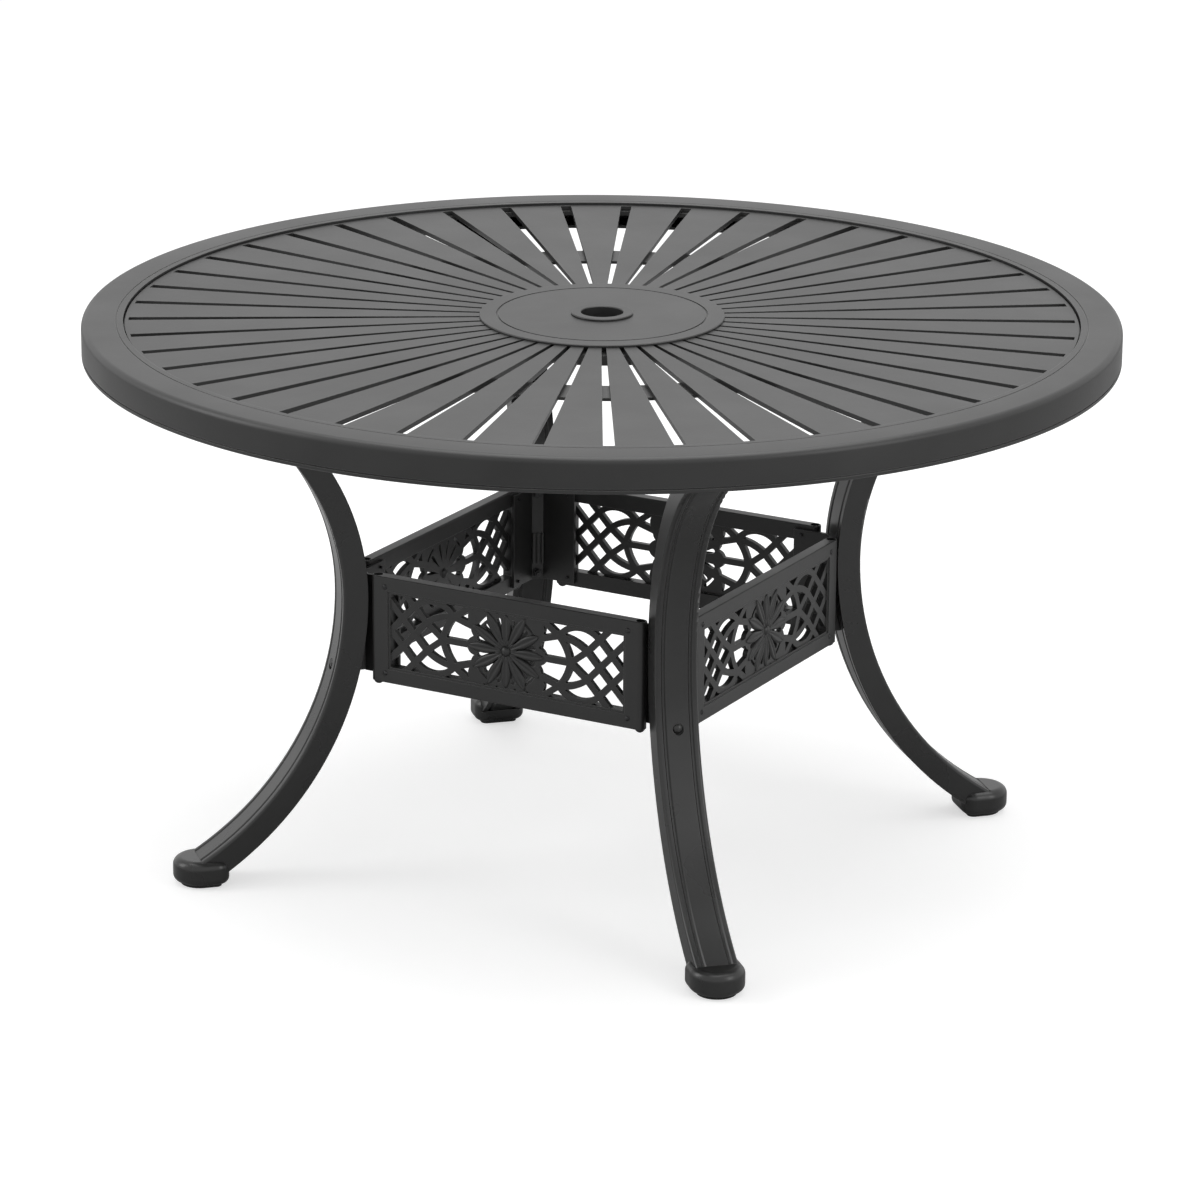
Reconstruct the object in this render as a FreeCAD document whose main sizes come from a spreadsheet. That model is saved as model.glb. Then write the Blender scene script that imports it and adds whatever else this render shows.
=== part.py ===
import FreeCAD, Part
import Sketcher
import math
import os
from FreeCAD import Placement, Rotation, Vector

# Round umbrella table, millimetres, +Z up, origin on the floor under the umbrella hole.
# Four sabre legs stand at 45 degrees to X and Y, and four pierced panels tie them at mid height.

doc = FreeCAD.newDocument("umbrella_table")
sheet = doc.addObject("Spreadsheet::Sheet", "Sizes")

# Driving sizes: alias, value, meaning
SIZES = [
    ("top_radius", 660, "outer radius of the rim"),
    ("table_height", 720, "floor to the top of the rim"),
    ("rim_height", 44, "depth of the rim band"),
    ("rim_wall", 6, "wall of the rim channel"),
    ("rim_face", 53, "width of the flat band on top of the rim"),
    ("rim_shoulder", 8, "rounding of the rim's outer top edge"),
    ("rim_ledge", 12, "ledge that carries the slatted top"),
    ("rim_lip", 54, "inward return inside the rim, from its outer face"),
    ("rim_lip_wall", 4, "thickness of that return"),
    ("rim_lip_rise", 8, "return above the rim's bottom edge"),
    ("rim_line_inset", 8, "line groove on the flat band, from the band's inner edge"),
    ("rim_line_width", 1.6, "width of that groove"),
    ("rim_line_depth", 1, "depth of that groove"),
    ("bead_height", 5, "bead along the bottom of the rim"),
    ("bead_groove", 1.8, "depth and width of the line above the bead"),
    ("slat_drop", 3, "step from the rim down to the slats"),
    ("slat_thickness", 6, "slatted top plate"),
    ("top_gap", 2, "gap between the slatted top and the rim"),
    ("slot_count", 45, "radial slots"),
    ("slot_outer_gap", 4.5, "solid ring outside the slots"),
    ("slot_width_out", 14.5, "slot width at the rim"),
    ("slot_width_in", 5.8, "slot width at the hub"),
    ("hub_radius", 156, "hub disc"),
    ("hub_cover_over", 6, "how far the hub disc covers the slots' inner ends"),
    ("hub_step", 21, "width of the outer ring round the hub disc"),
    ("hub_rise", 3, "height of the hub disc above the slats"),
    ("hub_line_width", 3, "line groove round the hub disc, inside its outer ring"),
    ("hub_line_depth", 1.6, "depth of that groove"),
    ("hub_bevel", 1, "bevel of the hub disc's outer edge"),
    ("hub_plate_radius", 172, "backing plate under the hub"),
    ("hub_plate_depth", 13, "depth of the backing plate at its downturned edge"),
    ("hub_plate_wall", 5, "wall of that edge"),
    ("under_thickness", 4, "backing plate and support ring"),
    ("support_radius", 340, "middle of the support ring"),
    ("support_width", 56, "width of the support ring"),
    ("pole_bore", 27, "radius of the umbrella hole"),
    ("sleeve_wall", 2.5, "wall of the umbrella ring"),
    ("sleeve_length", 44, "umbrella ring below the hub disc"),
    ("flange_width", 10, "flange of the umbrella ring beyond its sleeve"),
    ("flange_rise", 2.5, "thickness of that flange"),
    ("flange_bevel", 1, "bevel of the flange's outer edge"),
    ("mouth_bevel", 1, "bevel of the umbrella hole's mouth"),
    ("fit_gap", 0.3, "clearance round the lift-out umbrella ring"),
    ("leg_width", 55, "leg across"),
    ("leg_depth", 32, "leg from outer face to inner face"),
    ("leg_wall", 4.5, "wall of the hollow leg"),
    ("waist_radius", 346, "leg's outer face at its waist, from the axis"),
    ("waist_height", 375, "height of that waist"),
    ("head_setback", 89.2, "leg's outer face at its top, inside the rim's edge"),
    ("upper_sweep", 60, "most degrees the leg bends above the waist"),
    ("lower_sweep", 57, "most degrees the leg bends below the waist"),
    ("leg_edge", 4, "rounding of the leg's outer edges"),
    ("groove_inset", 9, "line groove from the leg's edge"),
    ("groove_width", 2.5, "width of that groove"),
    ("groove_depth", 2.2, "depth of that groove"),
    ("groove_bevel", 1.8, "bevel of the groove's edges"),
    ("head_thickness", 6, "mounting plate on top of the leg"),
    ("head_width", 74, "mounting plate across"),
    ("head_corner", 12, "rounding of the mounting plate's corners"),
    ("head_bolt_gap", 46, "distance between its two bolts"),
    ("head_bolt_inset", 26, "those bolts outside the rim lip's inner edge"),
    ("foot_radius", 531.8, "centre of the foot cap's round front, from the axis"),
    ("foot_width", 70, "foot cap across"),
    ("foot_tail", 34, "foot cap behind the centre of its round front"),
    ("foot_corner", 18, "rounding of the foot cap's back corners"),
    ("foot_height", 32, "foot cap"),
    ("foot_edge", 11, "rounding of the foot cap's top edge"),
    ("foot_base_edge", 9, "rounding of the foot cap's bottom edge"),
    ("foot_floor", 8, "floor of the foot cap under the leg"),
    ("leg_meets_foot", 2.5, "where the leg's face enters the foot cap, beyond the centre of its round front"),
    ("leg_toe", 11, "leg's end beyond that place"),
    ("glide_height", 4, "glide under the foot cap"),
    ("glide_inset", 10, "glide edge inside the foot cap edge"),
    ("panel_height", 141, "panel"),
    ("panel_below_waist", 109, "panel's lower edge below the leg's waist"),
    ("panel_depth", 16, "panel border front to back, and its rounded ends across"),
    ("barrel_back", 12, "axis of the panel's rounded end behind the leg's inner face"),
    ("barrel_lap", 2.3, "how far the panel's rounded end laps behind the leg's side"),
    ("panel_edge", 1.5, "rounding of the panel's top and bottom edges"),
    ("border_end", 29, "plain border at the panel's ends"),
    ("border_side", 21.5, "plain border above and below the fretwork"),
    ("step_width", 3, "step round the fretwork window"),
    ("step_depth", 1.5, "depth of that step"),
    ("fret_depth", 7, "thickness of the fretwork"),
    ("fret_sink", 3, "fretwork behind the front of the border"),
    ("strap_width", 8.5, "fretwork strap"),
    ("rod_radius", 4, "rod in the panel's rounded end"),
    ("bracket_thickness", 4.5, "corner bracket"),
    ("bracket_wing", 50, "bracket wing along the panel"),
    ("bracket_inset", 6, "bracket's ends inside the panel's top and bottom"),
    ("screw_from_end", 22, "panel screw from the panel's end"),
    ("screw_from_side", 13, "panel screw from the panel's top or bottom"),
    ("bolt_span", 112, "distance between the two leg bolts in a bracket"),
]

LEG_ANGLES = [-45, 45, 135, 225]
LEG_NAMES = ["front_right", "back_right", "back_left", "front_left"]
PANEL_ANGLES = [0, 90, 180, 270]
PANEL_NAMES = ["front", "right", "back", "left"]

# Named clearances and fastener sizes
HOLE_GAP = 0.3
SEAT_GAP = 0.3
ROD_GAP = 0.15
PLATE_GAP = 4
SADDLE_GAP = 2
OVERCUT = 1
SKETCH_GAP = 0.01
FRET_LAP = 1
HEAD_BOLT = {"shank": 4, "head": 6.5, "head_height": 5.3, "washer": 8, "washer_height": 1.6,
             "nut_height": 6.5}
LEG_BOLT = {"shank": 3, "head": 5, "head_height": 4, "washer": 6.5, "washer_height": 1.6, "nut_height": 5,
            "dome": 6.5}
PANEL_SCREW = {"shank": 2, "head": 3.6, "head_height": 1.8, "past_bracket": 3}
UNDER_SCREW = {"shank": 1.8, "head": 3.8, "head_height": 2.2, "grip": 3}
HUB_SCREW = {"shank": 2, "head": 4.2, "head_height": 2.6, "grip": 2, "radius": 145, "count": 9}
END_ROD = {"nut": 6.5, "nut_height": 5, "thread": 3, "sink": 4, "recess": 6.2}
RIB = {"gap": 6, "width": 2.5, "height": 4, "from_bolt": 14, "root": 0.5}
SPOT_FACE = {"radius": 7.2, "depth": 2, "dome_height": 3.2}
THREAD_PAST_NUT = 2
PETALS = 12

# Places in the fretwork, as shares of half the window's width and height
KNOT = (0.45, 0.67)
EYE = (0.545, 0)
CROWN = (0.625, 0.99)
SHOULDER = (0.52, 0.30)
LATTICE_PITCH = (0.104, 0.378)
PAST_EDGE = 0.2
TIE_END = 0.285
PETAL_TIE = 0.30

# Sizes of the flower, as shares of half the window's height
FLOWER = {"disc": 0.86, "tips": 0.90, "tip": 0.26, "heart": 0.16}
LEAF = {"across": 0.84, "up": 0.76, "radius": 0.29}
SLIT = {"near": 0.30, "far": 0.90, "width": 0.13}
CRESCENT = {"radius": 0.99, "half_sweep": 12, "width": 0.08}

for row, (alias, value, meaning) in enumerate(SIZES, start=1):
    sheet.set("A%d" % row, meaning)
    sheet.set("B%d" % row, str(value))
    sheet.setAlias("B%d" % row, alias)
doc.recompute()

TOP_Z = Vector(0, 0, 1)
ORIGIN = Vector(0, 0, 0)


def val(alias):
    """The value of one driving size."""
    return float(sheet.get(alias))


# Heights and radii that several pieces share
ROOT2 = math.sqrt(2)
slat_top = val("table_height") - val("slat_drop")
slat_bottom = slat_top - val("slat_thickness")
under_bottom = slat_bottom - val("under_thickness")
rim_bottom = val("table_height") - val("rim_height")
lip_bottom = rim_bottom + val("rim_lip_rise")
rim_inner = val("top_radius") - val("rim_face")
head_under = lip_bottom - val("head_thickness")
head_bolt_radius = val("top_radius") - val("rim_lip") + val("head_bolt_inset")
hub_bore = val("pole_bore") + val("sleeve_wall") + val("fit_gap")
waist_radius = val("waist_radius")
waist_z = val("waist_height")
leg_inner = waist_radius - val("leg_depth")
head_radius = val("top_radius") - val("head_setback")
foot_middle = val("foot_radius")
foot_top = val("glide_height") + val("foot_height")
leg_meet = foot_middle + val("leg_meets_foot")
leg_end = leg_meet + val("leg_toe")
leg_low = val("glide_height") + val("foot_floor")
barrel_x = leg_inner - val("barrel_back")
barrel_y = val("leg_width") / 2 - val("barrel_lap") + val("panel_depth") / 2
panel_middle = (barrel_x + barrel_y) / ROOT2
panel_length = ROOT2 * (barrel_x - barrel_y) + val("panel_depth")
panel_inner = panel_middle - val("panel_depth") / 2
panel_bottom = waist_z - val("panel_below_waist")
panel_mid_z = panel_bottom + val("panel_height") / 2
bolt_low_z = panel_mid_z - val("bolt_span") / 2
bolt_high_z = panel_mid_z + val("bolt_span") / 2
slot_phase = 180 / val("slot_count")
ring_screw_count = int(val("slot_count")) // 3
web_face = leg_inner - val("bracket_thickness")

# Expressions for the same values, for the sketches
SLAT_TOP = "(Sizes.table_height - Sizes.slat_drop)"
SLAT_BOTTOM = "(Sizes.table_height - Sizes.slat_drop - Sizes.slat_thickness)"
UNDER_BOTTOM = "(Sizes.table_height - Sizes.slat_drop - Sizes.slat_thickness - Sizes.under_thickness)"
RIM_BOTTOM = "(Sizes.table_height - Sizes.rim_height)"
LIP_BOTTOM = "(Sizes.table_height - Sizes.rim_height + Sizes.rim_lip_rise)"
PANEL_BOTTOM = "(Sizes.waist_height - Sizes.panel_below_waist)"
HUB_BORE = "(Sizes.pole_bore + Sizes.sleeve_wall + Sizes.fit_gap)"


def origin_plane(body, role):
    """One of a body's own origin planes."""
    return [f for f in body.Origin.OriginFeatures if f.Role == role][0]


def new_body(label):
    body = doc.addObject("PartDesign::Body", label)
    body.Label = label
    return body


def new_sketch(body, name, role="XZ_Plane", height=None):
    """A sketch on an origin plane, or parallel to it at a bound height."""
    sketch = body.newObject("Sketcher::SketchObject", name)
    sketch.AttachmentSupport = (origin_plane(body, role), "")
    sketch.MapMode = "FlatFace"
    if height:
        sketch.setExpression("AttachmentOffset.Base.z", height)
    return sketch


def bound_outline(sketch, corners):
    """Close an outline whose corner coordinates are expressions of the sheet."""
    numbers = [(evaluate(sketch, x), evaluate(sketch, y)) for x, y in corners]
    count = len(corners)
    for i in range(count):
        start = Vector(numbers[i][0], numbers[i][1], 0)
        end = Vector(numbers[(i + 1) % count][0], numbers[(i + 1) % count][1], 0)
        sketch.addGeometry(Part.LineSegment(start, end), False)

    for i in range(count):
        sketch.addConstraint(Sketcher.Constraint("Coincident", i, 2, (i + 1) % count, 1))
    for i, (x, y) in enumerate(corners):
        index = sketch.addConstraint(Sketcher.Constraint("DistanceX", -1, 1, i, 1, numbers[i][0]))
        sketch.setExpression("Constraints[%d]" % index, x)
        index = sketch.addConstraint(Sketcher.Constraint("DistanceY", -1, 1, i, 1, numbers[i][1]))
        sketch.setExpression("Constraints[%d]" % index, y)


def evaluate(obj, text):
    """The number that an expression of the sheet gives."""
    result = obj.evalExpression(text)
    return float(getattr(result, "Value", result))


def plain_outline(sketch, edges):
    """Add ready edges, worked out from the driving sizes, to a sketch."""
    for edge in edges:
        sketch.addGeometry(edge, False)


def polygon(points):
    """Line segments round a closed list of 2-D points."""
    vectors = [Vector(x, y, 0) for x, y in points]
    return [Part.LineSegment(a, b) for a, b in zip(vectors, vectors[1:] + vectors[:1])]


def pad(body, name, sketch, length, midplane=True, reversed_=False):
    feature = body.newObject("PartDesign::Pad", name)
    feature.Profile = sketch
    feature.setExpression("Length", length)
    feature.SideType = "Symmetric" if midplane else "One side"
    feature.Reversed = reversed_
    return feature


def pocket(body, name, sketch, length, midplane=True, reversed_=False):
    feature = body.newObject("PartDesign::Pocket", name)
    feature.Profile = sketch
    feature.setExpression("Length", length)
    feature.SideType = "Symmetric" if midplane else "One side"
    feature.Reversed = reversed_
    return feature


def revolve(body, name, sketch):
    feature = body.newObject("PartDesign::Revolution", name)
    feature.Profile = sketch
    feature.ReferenceAxis = (sketch, ["V_Axis"])
    feature.Angle = 360
    return feature


def through_pattern(body, name, feature, count):
    """Repeat a feature evenly round the vertical axis."""
    pattern = body.newObject("PartDesign::PolarPattern", name)
    pattern.Originals = [feature]
    axis = [f for f in body.Origin.OriginFeatures if f.Role == "Z_Axis"][0]
    pattern.Axis = (axis, [""])
    pattern.Angle = 360
    if isinstance(count, str):
        pattern.setExpression("Occurrences", count)
    else:
        pattern.Occurrences = count
    body.Tip = pattern
    return pattern


def edge_names(shape, wanted):
    """Names of the edges for which a test on their points holds."""
    names = []
    for number, edge in enumerate(shape.Edges, start=1):
        first, last = edge.ParameterRange
        points = [edge.valueAt(first + (last - first) * share) for share in (0.0, 0.25, 0.5, 0.75, 1.0)]
        if all(wanted(point) for point in points):
            names.append("Edge%d" % number)
    return names


def fillet(body, name, base, names, radius):
    feature = body.newObject("PartDesign::Fillet", name)
    feature.Base = (base, names)
    feature.setExpression("Radius", radius)
    body.Tip = feature
    return feature


def chamfer(body, name, base, names, size):
    feature = body.newObject("PartDesign::Chamfer", name)
    feature.Base = (base, names)
    feature.setExpression("Size", size)
    body.Tip = feature
    return feature


def turn(angle, lift=0):
    """A placement turned round the vertical axis."""
    return Placement(Vector(0, 0, lift), Rotation(TOP_Z, angle))


def plain_part(label, shape, placement=None):
    """A sub-part whose shape comes straight from Part's functions."""
    obj = doc.addObject("Part::Feature", label)
    obj.Label = label
    obj.Shape = shape
    if placement:
        obj.Placement = placement
    return obj


def placed(shape, placement):
    copy = shape.copy()
    copy.Placement = placement.multiply(copy.Placement)
    return copy


# Table top

def make_rim():
    """Rolled channel: flat top band with a line groove, rounded shoulder, skirt, bead and return lip."""
    body = new_body("rim")
    sketch = new_sketch(body, "RimSection")
    inner = "(Sizes.top_radius - Sizes.rim_face)"
    bottom = RIM_BOTTOM
    skirt = "(Sizes.top_radius - Sizes.rim_wall)"
    line = inner + " + Sizes.rim_line_inset"
    groove_top = bottom + " + Sizes.bead_height + Sizes.bead_groove"
    corners = [
        (inner + " - Sizes.rim_ledge", SLAT_BOTTOM),
        (inner, SLAT_BOTTOM),
        (inner, "Sizes.table_height"),
        (line, "Sizes.table_height"),
        (line, "Sizes.table_height - Sizes.rim_line_depth"),
        (line + " + Sizes.rim_line_width", "Sizes.table_height - Sizes.rim_line_depth"),
        (line + " + Sizes.rim_line_width", "Sizes.table_height"),
        ("Sizes.top_radius", "Sizes.table_height"),
        ("Sizes.top_radius", groove_top),
        ("Sizes.top_radius - Sizes.bead_groove", groove_top),
        ("Sizes.top_radius - Sizes.bead_groove", bottom + " + Sizes.bead_height"),
        ("Sizes.top_radius", bottom + " + Sizes.bead_height"),
        ("Sizes.top_radius", bottom),
        (skirt, bottom),
        (skirt, LIP_BOTTOM),
        ("Sizes.top_radius - Sizes.rim_lip", LIP_BOTTOM),
        ("Sizes.top_radius - Sizes.rim_lip", LIP_BOTTOM + " + Sizes.rim_lip_wall"),
        (skirt, LIP_BOTTOM + " + Sizes.rim_lip_wall"),
        (skirt, "Sizes.table_height - Sizes.rim_wall"),
        (inner + " + Sizes.rim_wall", "Sizes.table_height - Sizes.rim_wall"),
        (inner + " + Sizes.rim_wall", SLAT_BOTTOM + " - Sizes.rim_wall"),
        (inner + " - Sizes.rim_ledge", SLAT_BOTTOM + " - Sizes.rim_wall"),
    ]
    bound_outline(sketch, corners)
    ring = revolve(body, "RimRing", sketch)
    doc.recompute()

    def top_edge(point):
        far = math.hypot(point.x, point.y)
        return abs(far - val("top_radius")) < 0.01 and abs(point.z - val("table_height")) < 0.01

    def low_edge(point):
        far = math.hypot(point.x, point.y)
        return abs(far - val("top_radius")) < 0.01 and abs(point.z - rim_bottom) < 0.01

    shoulder = fillet(body, "RimShoulder", ring, edge_names(ring.Shape, top_edge), "Sizes.rim_shoulder")
    doc.recompute()
    bead = fillet(body, "RimBead", shoulder, edge_names(shoulder.Shape, low_edge), "Sizes.bead_height / 2")
    doc.recompute()
    holes = new_sketch(body, "HeadBoltHoles", "XY_Plane", LIP_BOTTOM + " - %g" % OVERCUT)
    for side in (-1, 1):
        centre = Vector(head_bolt_radius, side * val("head_bolt_gap") / 2, 0)
        turned = Rotation(TOP_Z, LEG_ANGLES[0]).multVec(centre)
        circle = Part.Circle(turned, TOP_Z, HEAD_BOLT["shank"] + HOLE_GAP)
        holes.addGeometry(circle, False)
    depth = "Sizes.rim_lip_wall + %g" % (2 * OVERCUT)
    cut = pocket(body, "HeadBoltCut", holes, depth, midplane=False, reversed_=True)
    doc.recompute()
    through_pattern(body, "HeadBoltPattern", cut, len(LEG_ANGLES))
    return body


def blind_holes(body, name, radius, hole, count, angle, base, depth):
    """Ring of round holes that start on a height of the body and go up into it."""
    sketch = new_sketch(body, name, "XY_Plane", base)
    centre = Rotation(TOP_Z, angle).multVec(Vector(radius, 0, 0))
    sketch.addGeometry(Part.Circle(centre, TOP_Z, hole), False)
    cut = pocket(body, name + "Cut", sketch, depth, midplane=False, reversed_=True)
    doc.recompute()
    through_pattern(body, name + "Ring", cut, count)
    doc.recompute()


def make_slat_plate():
    """Flat disc with tapered radial slots between its slats, and holes for the screws from below."""
    body = new_body("slatted_top")
    disc = new_sketch(body, "Disc", "XY_Plane", SLAT_BOTTOM)
    outer = rim_inner - val("top_gap")
    disc.addGeometry(Part.Circle(ORIGIN, TOP_Z, outer), False)
    disc.addGeometry(Part.Circle(ORIGIN, TOP_Z, hub_bore), False)
    pad(body, "DiscPad", disc, "Sizes.slat_thickness", midplane=False)
    doc.recompute()
    slot = new_sketch(body, "Slot", "XY_Plane", SLAT_BOTTOM + " - %g" % OVERCUT)
    far = outer - val("slot_outer_gap")
    near = val("hub_radius") - val("hub_cover_over")
    half_far = val("slot_width_out") / 2
    half_near = val("slot_width_in") / 2
    plain_outline(slot, polygon([(near, -half_near), (far, -half_far), (far, half_far), (near, half_near)]))
    depth = "Sizes.slat_thickness + %g" % (2 * OVERCUT)
    cut = pocket(body, "SlotCut", slot, depth, midplane=False, reversed_=True)
    doc.recompute()
    through_pattern(body, "SlotPattern", cut, "Sizes.slot_count")
    doc.recompute()
    blind_holes(body, "RingScrewHole", val("support_radius"), UNDER_SCREW["shank"], ring_screw_count,
                -slot_phase, SLAT_BOTTOM, "%g" % UNDER_SCREW["grip"])
    blind_holes(body, "HubScrewHole", HUB_SCREW["radius"], HUB_SCREW["shank"] + HOLE_GAP, HUB_SCREW["count"],
                -slot_phase, SLAT_BOTTOM, "Sizes.slat_thickness")
    body.Placement = turn(slot_phase)
    return body


def make_hub_disc():
    """Cover disc with the umbrella hole, and a line groove that marks off its outer ring."""
    body = new_body("hub_disc")
    sketch = new_sketch(body, "HubSection")
    ring_inner = "(Sizes.hub_radius - Sizes.hub_step)"
    disc_top = SLAT_TOP + " + Sizes.hub_rise"
    corners = [
        (HUB_BORE, SLAT_TOP),
        ("Sizes.hub_radius", SLAT_TOP),
        ("Sizes.hub_radius", disc_top + " - Sizes.hub_bevel"),
        ("Sizes.hub_radius - Sizes.hub_bevel", disc_top),
        (ring_inner, disc_top),
        (ring_inner, disc_top + " - Sizes.hub_line_depth"),
        (ring_inner + " - Sizes.hub_line_width", disc_top + " - Sizes.hub_line_depth"),
        (ring_inner + " - Sizes.hub_line_width", disc_top),
        (HUB_BORE, disc_top),
    ]
    bound_outline(sketch, corners)
    revolve(body, "HubTurned", sketch)
    doc.recompute()
    blind_holes(body, "ScrewHole", HUB_SCREW["radius"], HUB_SCREW["shank"], HUB_SCREW["count"], 0,
                SLAT_TOP, "%g" % HUB_SCREW["grip"])
    return body


def make_umbrella_ring():
    """Lift-out flanged sleeve that lines the umbrella hole."""
    body = new_body("umbrella_ring")
    sketch = new_sketch(body, "RingSection")
    seat = SLAT_TOP + " + Sizes.hub_rise + Sizes.fit_gap"
    sleeve = "(Sizes.pole_bore + Sizes.sleeve_wall)"
    corners = [
        ("Sizes.pole_bore", seat + " - Sizes.sleeve_length"),
        (sleeve, seat + " - Sizes.sleeve_length"),
        (sleeve, seat),
        (sleeve + " + Sizes.flange_width", seat),
        (sleeve + " + Sizes.flange_width", seat + " + Sizes.flange_rise - Sizes.flange_bevel"),
        (sleeve + " + Sizes.flange_width - Sizes.flange_bevel", seat + " + Sizes.flange_rise"),
        ("Sizes.pole_bore + Sizes.mouth_bevel", seat + " + Sizes.flange_rise"),
        ("Sizes.pole_bore", seat + " + Sizes.flange_rise - Sizes.mouth_bevel"),
    ]
    bound_outline(sketch, corners)
    revolve(body, "RingTurned", sketch)
    return body


def make_under_ring(label, corners, radius, shank, count):
    """Ring fixed under the slatted top, with its screw holes."""
    body = new_body(label)
    sketch = new_sketch(body, "Section")
    bound_outline(sketch, corners)
    revolve(body, "Turned", sketch)
    doc.recompute()
    blind_holes(body, "ScrewHole", radius, shank + HOLE_GAP, count, 0, UNDER_BOTTOM, "Sizes.under_thickness")
    return body


def make_support_ring():
    """Flat ring that ties the slats together from below."""
    inner = "(Sizes.support_radius - Sizes.support_width / 2)"
    outer = "(Sizes.support_radius + Sizes.support_width / 2)"
    corners = [(inner, UNDER_BOTTOM), (outer, UNDER_BOTTOM), (outer, SLAT_BOTTOM), (inner, SLAT_BOTTOM)]
    make_under_ring("support_ring", corners, val("support_radius"), UNDER_SCREW["shank"], ring_screw_count)


def make_hub_plate():
    """Plate under the hub with a downturned edge."""
    inside = "(Sizes.hub_plate_radius - Sizes.hub_plate_wall)"
    edge_bottom = SLAT_BOTTOM + " - Sizes.hub_plate_depth"
    corners = [
        (HUB_BORE, UNDER_BOTTOM),
        (inside, UNDER_BOTTOM),
        (inside, edge_bottom),
        ("Sizes.hub_plate_radius", edge_bottom),
        ("Sizes.hub_plate_radius", SLAT_BOTTOM),
        (HUB_BORE, SLAT_BOTTOM),
    ]
    make_under_ring("hub_backing_plate", corners, HUB_SCREW["radius"], HUB_SCREW["shank"], HUB_SCREW["count"])


# Legs and feet

def bend(run, rise, most_sweep):
    """Sweep and radius of the arc that, with a straight end, covers this run over this rise."""
    sweep = min(math.radians(most_sweep), 2 * math.atan(run / rise))
    gain = math.sin(sweep) * math.tan(sweep) - (1 - math.cos(sweep))
    return sweep, (rise * math.tan(sweep) - run) / gain


upper_sweep, upper_radius = bend(head_radius - waist_radius, head_under - waist_z, val("upper_sweep"))
lower_sweep, lower_radius = bend(leg_meet - waist_radius, waist_z - foot_top, val("lower_sweep"))


def face_x(depth, z):
    """Distance from the axis of a leg face this far behind the outer face, near the waist."""
    bend_radius = upper_radius if z > waist_z else lower_radius
    centre = waist_radius + bend_radius
    return centre - math.sqrt((bend_radius + depth) ** 2 - (z - waist_z) ** 2)


def face_curve(depth, head_z, end_x=None, end_z=None):
    """Top point, foot point and curves of a leg face this far behind the outer face."""
    waist = Vector(waist_radius - depth, waist_z, 0)
    radius_up = upper_radius + depth
    radius_low = lower_radius + depth
    centre_up = waist + Vector(radius_up, 0, 0)
    centre_low = waist + Vector(radius_low, 0, 0)

    def up_point(angle):
        return centre_up + Vector(-radius_up * math.cos(angle), radius_up * math.sin(angle), 0)

    def low_point(angle):
        return centre_low + Vector(-radius_low * math.cos(angle), -radius_low * math.sin(angle), 0)

    up_end = up_point(upper_sweep)
    low_end = low_point(lower_sweep)
    rise = head_z - up_end.y
    head = up_end + Vector(rise * math.tan(upper_sweep), rise, 0)
    if end_z is None:
        run = end_x - low_end.x
        foot = low_end + Vector(run, -run / math.tan(lower_sweep), 0)
    else:
        fall = low_end.y - end_z
        foot = low_end + Vector(fall * math.tan(lower_sweep), -fall, 0)
    curves = [
        Part.LineSegment(head, up_end),
        Part.Arc(up_end, up_point(upper_sweep / 2), waist),
        Part.Arc(waist, low_point(lower_sweep / 2), low_end),
        Part.LineSegment(low_end, foot),
    ]
    return head, foot, curves


def leg_outline(inset, head_z):
    """Side outline of the leg, with its toe cut upright and its heel cut level."""
    end_x = leg_end - inset
    end_z = leg_low + inset
    head_a, toe, front = face_curve(inset, head_z, end_x=end_x)
    head_b, heel, back = face_curve(val("leg_depth") - inset, head_z, end_z=end_z)
    corner = Vector(end_x, end_z, 0)
    closing = [Part.LineSegment(a, b) for a, b in ((head_a, head_b), (toe, corner), (corner, heel))]
    return front + back + closing


def skin_outline(near, far, head_z, **end):
    """Side outline of a thin band along the leg, between these two distances behind its outer face."""
    head_a, toe_a, front = face_curve(near, head_z, **end)
    head_b, toe_b, back = face_curve(far, head_z, **end)
    return front + back + [Part.LineSegment(head_a, head_b), Part.LineSegment(toe_a, toe_b)]


def as_geometry(curves):
    """Sketch geometry for lines and arcs."""
    ready = []
    for curve in curves:
        shape = curve.toShape()
        if shape.Curve.TypeId == "Part::GeomCircle":
            first, last = shape.ParameterRange
            ready.append(Part.ArcOfCircle(shape.Curve, first, last))
        else:
            ready.append(curve)
    return ready


def rounded_rectangle(x0, x1, half_y, radius):
    """Outline of a rectangle with round corners, as sketch geometry."""
    centres = [(x1 - radius, half_y - radius), (x0 + radius, half_y - radius),
               (x0 + radius, radius - half_y), (x1 - radius, radius - half_y)]
    arcs = []
    for quarter, (x, y) in enumerate(centres):
        start = quarter * math.pi / 2
        circle = Part.Circle(Vector(x, y, 0), TOP_Z, radius)
        arcs.append(Part.ArcOfCircle(circle, start, start + math.pi / 2))
    joins = [Part.LineSegment(a.EndPoint, b.StartPoint) for a, b in zip(arcs, arcs[1:] + arcs[:1])]
    return arcs + joins


def cross_hole(body, name, x0, depth, z, radius):
    """Round hole along X, in the leg's middle plane, from this distance outward."""
    sketch = new_sketch(body, name, "YZ_Plane", "%g" % x0)
    sketch.addGeometry(Part.Circle(Vector(0, z, 0), TOP_Z, radius), False)
    cut = pocket(body, name + "Cut", sketch, "%g" % depth, midplane=False, reversed_=True)
    doc.recompute()
    return cut


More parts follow.
